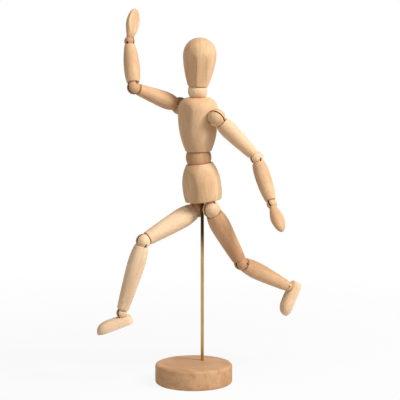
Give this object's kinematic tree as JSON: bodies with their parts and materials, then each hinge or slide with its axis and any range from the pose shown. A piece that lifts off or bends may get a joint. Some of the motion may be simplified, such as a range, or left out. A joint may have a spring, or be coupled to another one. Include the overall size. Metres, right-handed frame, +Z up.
{
  "type": "artist mannequin",
  "caption": "Jointed wooden artist's mannequin in a running pose on a round base: a rod carries the figure, and internal springs hold its slotted ball joints where they are put.",
  "frame": {"origin": "centre of the base's flat underside", "axes": "+Z up along the support rod, +Y from the centre of the base towards the rod; the figure faces about -Y and its left side is towards +X"},
  "size_m": [0.1482, 0.1822, 0.3376],
  "materials": {
    "wood": "pale hardwood, sanded smooth, satin",
    "brass_rod": "dull brass wire rod",
    "spring_steel": "drawn spring wire"
  },
  "bodies": {
    "stand": {"base": "wood", "support_rod": "brass_rod"},
    "pelvis": {"pelvis": "wood", "waist_link": "spring_steel", "left_hip_link": "spring_steel", "right_hip_link": "spring_steel"},
    "waist_ball": {"waist_ball": "wood"},
    "chest": {"chest": "wood", "waist_spring": "spring_steel", "neck_link": "spring_steel", "shoulder_spring": "spring_steel"},
    "neck_ball": {"neck_ball": "wood"},
    "head": {"head": "wood", "head_spring": "spring_steel"},
    "left_shoulder_ball": {"left_shoulder_ball": "wood"},
    "left_upper_arm": {"left_upper_arm": "wood", "left_upper_arm_spring": "spring_steel"},
    "left_elbow_ball": {"left_elbow_ball": "wood"},
    "left_forearm": {"left_forearm": "wood", "left_forearm_spring": "spring_steel"},
    "left_wrist_ball": {"left_wrist_ball": "wood"},
    "left_hand": {"left_wrist_eye": "spring_steel", "left_hand": "wood"},
    "right_shoulder_ball": {"right_shoulder_ball": "wood"},
    "right_upper_arm": {"right_upper_arm": "wood", "right_upper_arm_spring": "spring_steel"},
    "right_elbow_ball": {"right_elbow_ball": "wood"},
    "right_forearm": {"right_forearm": "wood", "right_forearm_spring": "spring_steel"},
    "right_wrist_ball": {"right_wrist_ball": "wood"},
    "right_hand": {"right_wrist_eye": "spring_steel", "right_hand": "wood"},
    "left_hip_ball": {"left_hip_ball": "wood"},
    "left_thigh": {"left_thigh": "wood", "left_thigh_spring": "spring_steel"},
    "left_knee_ball": {"left_knee_ball": "wood"},
    "left_shin": {"left_shin": "wood", "left_shin_spring": "spring_steel"},
    "left_ankle_ball": {"left_ankle_ball": "wood"},
    "left_foot": {"left_ankle_eye": "spring_steel", "left_foot": "wood"},
    "right_hip_ball": {"right_hip_ball": "wood"},
    "right_thigh": {"right_thigh": "wood", "right_thigh_spring": "spring_steel"},
    "right_knee_ball": {"right_knee_ball": "wood"},
    "right_shin": {"right_shin": "wood", "right_shin_spring": "spring_steel"},
    "right_ankle_ball": {"right_ankle_ball": "wood"},
    "right_foot": {"right_ankle_eye": "spring_steel", "right_foot": "wood"}
  },
  "joints": [
    {"name": "figure_turn", "type": "hinge", "parent": "stand", "child": "pelvis", "pos_m": [0, 0.0135, 0.1573], "axis": [0, 0, 1], "continuous": true},
    {"name": "waist_bend", "type": "hinge", "parent": "pelvis", "child": "waist_ball", "pos_m": [-0.00293, 0.01186, 0.20447], "axis": [0.9718, -0.23, 0.052], "range_deg": [-9, 14]},
    {"name": "waist_turn", "type": "hinge", "parent": "waist_ball", "child": "chest", "pos_m": [-0.00293, 0.01186, 0.20447], "axis": [0.0092, -0.0381, 0.9992], "range_deg": [-45, 45]},
    {"name": "neck_bend", "type": "hinge", "parent": "chest", "child": "neck_ball", "pos_m": [-0.00238, 0.00957, 0.26443], "axis": [0.9841, -0.1766, -0.0158], "range_deg": [-15, 20]},
    {"name": "head_turn", "type": "hinge", "parent": "neck_ball", "child": "head", "pos_m": [-0.00238, 0.00957, 0.26443], "axis": [0.07, 0.0042, 0.9975], "range_deg": [-80, 18]},
    {"name": "left_shoulder_tilt", "type": "hinge", "parent": "chest", "child": "left_shoulder_ball", "pos_m": [0.02034, 0.00633, 0.24108], "axis": [-0.0516, 0.6068, -0.7932], "range_deg": [-10, 34]},
    {"name": "left_shoulder_bend", "type": "hinge", "parent": "left_shoulder_ball", "child": "left_upper_arm", "pos_m": [0.02034, 0.00633, 0.24108], "axis": [0.0419, 0.7949, 0.6053], "range_deg": [-115, 18]},
    {"name": "left_elbow_bend", "type": "hinge", "parent": "left_upper_arm", "child": "left_elbow_ball", "pos_m": [0.0461, 0.03248, 0.20496], "axis": [-0.8615, 0.3733, -0.3441], "range_deg": [-110, 45]},
    {"name": "left_elbow_tilt", "type": "hinge", "parent": "left_elbow_ball", "child": "left_forearm", "pos_m": [0.0461, 0.03248, 0.20496], "axis": [-0.3645, -0.9266, -0.0927], "range_deg": [-26, 18]},
    {"name": "left_wrist_tilt", "type": "hinge", "parent": "left_forearm", "child": "left_wrist_ball", "pos_m": [0.06426, 0.02934, 0.165], "axis": [0.0542, -0.9932, 0.1028], "range_deg": [-34, 10]},
    {"name": "left_wrist_bend", "type": "hinge", "parent": "left_wrist_ball", "child": "left_hand", "pos_m": [0.06426, 0.02934, 0.165], "axis": [-0.8036, -0.1046, -0.5859], "range_deg": [-85, 50]},
    {"name": "right_shoulder_tilt", "type": "hinge", "parent": "chest", "child": "right_shoulder_ball", "pos_m": [-0.02544, 0.01425, 0.25011], "axis": [-0.1043, -0.9476, 0.3018], "range_deg": [-22, 22]},
    {"name": "right_shoulder_bend", "type": "hinge", "parent": "right_shoulder_ball", "child": "right_upper_arm", "pos_m": [-0.02544, 0.01425, 0.25011], "axis": [0.2313, 0.272, 0.9341], "range_deg": [-130, 15]},
    {"name": "right_elbow_bend", "type": "hinge", "parent": "right_upper_arm", "child": "right_elbow_ball", "pos_m": [-0.04352, -0.03066, 0.26767], "axis": [-0.9097, 0.2315, -0.3448], "range_deg": [-145, 6]},
    {"name": "right_elbow_tilt", "type": "hinge", "parent": "right_elbow_ball", "child": "right_forearm", "pos_m": [-0.04352, -0.03066, 0.26767], "axis": [0.2973, 0.9427, -0.1516], "range_deg": [-22, 22]},
    {"name": "right_wrist_tilt", "type": "hinge", "parent": "right_forearm", "child": "right_wrist_ball", "pos_m": [-0.05628, -0.02009, 0.30843], "axis": [0.9455, 0.2217, 0.2383], "range_deg": [-22, 22]},
    {"name": "right_wrist_bend", "type": "hinge", "parent": "right_wrist_ball", "child": "right_hand", "pos_m": [-0.05628, -0.02009, 0.30843], "axis": [-0.1481, 0.945, -0.2916], "range_deg": [-80, 55]},
    {"name": "left_hip_tilt", "type": "hinge", "parent": "pelvis", "child": "left_hip_ball", "pos_m": [0.00974, 0.01397, 0.15779], "axis": [0.2406, 0.9649, 0.1054], "range_deg": [-18, 18]},
    {"name": "left_hip_bend", "type": "hinge", "parent": "left_hip_ball", "child": "left_thigh", "pos_m": [0.00974, 0.01397, 0.15779], "axis": [0.9678, -0.2469, 0.0502], "range_deg": [-24, 50]},
    {"name": "left_knee_bend", "type": "hinge", "parent": "left_thigh", "child": "left_knee_ball", "pos_m": [0.02063, 0.0461, 0.10589], "axis": [0.9798, -0.1745, 0.0975], "range_deg": [-100, 40]},
    {"name": "left_knee_tilt", "type": "hinge", "parent": "left_knee_ball", "child": "left_shin", "pos_m": [0.02063, 0.0461, 0.10589], "axis": [-0.012, 0.4355, 0.9001], "range_deg": [-22, 22]},
    {"name": "left_ankle_tilt", "type": "hinge", "parent": "left_shin", "child": "left_ankle_ball", "pos_m": [0.0342, 0.10615, 0.07702], "axis": [0.2254, 0.3803, 0.897], "range_deg": [-22, 22]},
    {"name": "left_ankle_bend", "type": "hinge", "parent": "left_ankle_ball", "child": "left_foot", "pos_m": [0.0342, 0.10615, 0.07702], "axis": [0.9536, -0.2747, -0.1231], "range_deg": [-50, 55]},
    {"name": "right_hip_tilt", "type": "hinge", "parent": "pelvis", "child": "right_hip_ball", "pos_m": [-0.00853, 0.01829, 0.15681], "axis": [-0.4209, -0.9, -0.1131], "range_deg": [-18, 18]},
    {"name": "right_hip_bend", "type": "hinge", "parent": "right_hip_ball", "child": "right_thigh", "pos_m": [-0.00853, 0.01829, 0.15681], "axis": [-0.9041, 0.4264, -0.0292], "range_deg": [-20, 6]},
    {"name": "right_knee_bend", "type": "hinge", "parent": "right_thigh", "child": "right_knee_ball", "pos_m": [-0.03192, -0.03306, 0.13112], "axis": [0.9261, -0.3415, -0.1606], "range_deg": [-110, 24]},
    {"name": "right_knee_tilt", "type": "hinge", "parent": "right_knee_ball", "child": "right_shin", "pos_m": [-0.03192, -0.03306, 0.13112], "axis": [0.2986, 0.9233, -0.2417], "range_deg": [-22, 22]},
    {"name": "right_ankle_tilt", "type": "hinge", "parent": "right_shin", "child": "right_ankle_ball", "pos_m": [-0.04761, -0.04501, 0.06604], "axis": [0.0826, 0.9764, -0.1994], "range_deg": [-4, 42]},
    {"name": "right_ankle_bend", "type": "hinge", "parent": "right_ankle_ball", "child": "right_foot", "pos_m": [-0.04761, -0.04501, 0.06604], "axis": [0.99, -0.0574, 0.1292], "range_deg": [-80, 32]}
  ]
}
